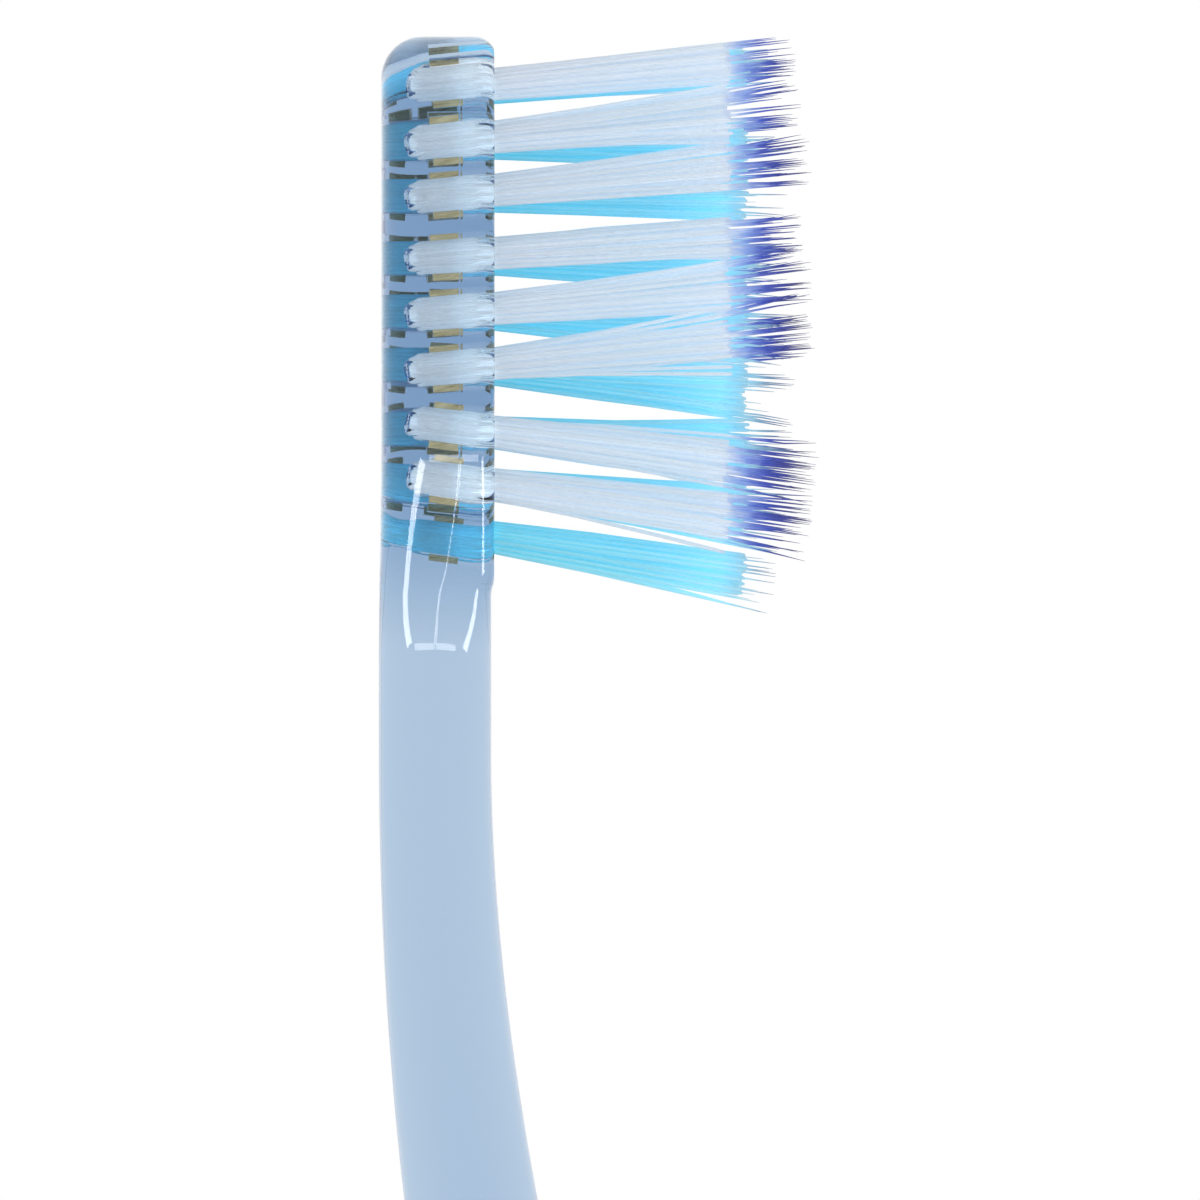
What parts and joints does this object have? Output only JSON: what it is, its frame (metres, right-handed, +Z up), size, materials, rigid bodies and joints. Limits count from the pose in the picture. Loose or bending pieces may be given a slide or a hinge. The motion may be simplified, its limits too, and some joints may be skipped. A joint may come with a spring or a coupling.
{
  "type": "manual toothbrush",
  "caption": "Slim toothbrush with a clear moulded handle, tilted compact head, and leaning rows of white and cyan tufts, each folded over a flat brass anchor.",
  "frame": {"origin": "on the resting plane, below the middle of the brush's bounding box", "axes": "+X from the tail to the toe of the head, +Z up through the bristles, +Y across to the left row"},
  "size_m": [0.1775, 0.0126, 0.0247],
  "materials": {
    "clear_plastic": "clear, faintly blue, polished",
    "white_filament": "translucent white, violet at the tapered tips",
    "cyan_filament": "translucent cyan",
    "anchor_brass": "rolled, bright"
  },
  "bodies": {
    "root": {"handle": "clear_plastic", "tuft_left_1": "white_filament", "tuft_left_2": "white_filament", "tuft_left_3": "white_filament", "tuft_left_4": "white_filament", "tuft_left_5": "white_filament", "tuft_left_6": "white_filament", "tuft_left_7": "white_filament", "tuft_left_8": "white_filament", "tuft_middle_1": "cyan_filament", "tuft_middle_2": "cyan_filament", "tuft_middle_3": "cyan_filament", "tuft_middle_4": "cyan_filament", "tuft_middle_5": "cyan_filament", "tuft_middle_6": "cyan_filament", "tuft_middle_7": "cyan_filament", "tuft_middle_8": "cyan_filament", "tuft_middle_9": "cyan_filament", "tuft_right_1": "white_filament", "tuft_right_2": "white_filament", "tuft_right_3": "white_filament", "tuft_right_4": "white_filament", "tuft_right_5": "white_filament", "tuft_right_6": "white_filament", "tuft_right_7": "white_filament", "tuft_right_8": "white_filament", "anchor_left_1": "anchor_brass", "anchor_left_2": "anchor_brass", "anchor_left_3": "anchor_brass", "anchor_left_4": "anchor_brass", "anchor_left_5": "anchor_brass", "anchor_left_6": "anchor_brass", "anchor_left_7": "anchor_brass", "anchor_left_8": "anchor_brass", "anchor_middle_1": "anchor_brass", "anchor_middle_2": "anchor_brass", "anchor_middle_3": "anchor_brass", "anchor_middle_4": "anchor_brass", "anchor_middle_5": "anchor_brass", "anchor_middle_6": "anchor_brass", "anchor_middle_7": "anchor_brass", "anchor_middle_8": "anchor_brass", "anchor_middle_9": "anchor_brass", "anchor_right_1": "anchor_brass", "anchor_right_2": "anchor_brass", "anchor_right_3": "anchor_brass", "anchor_right_4": "anchor_brass", "anchor_right_5": "anchor_brass", "anchor_right_6": "anchor_brass", "anchor_right_7": "anchor_brass", "anchor_right_8": "anchor_brass"}
  },
  "joints": []
}
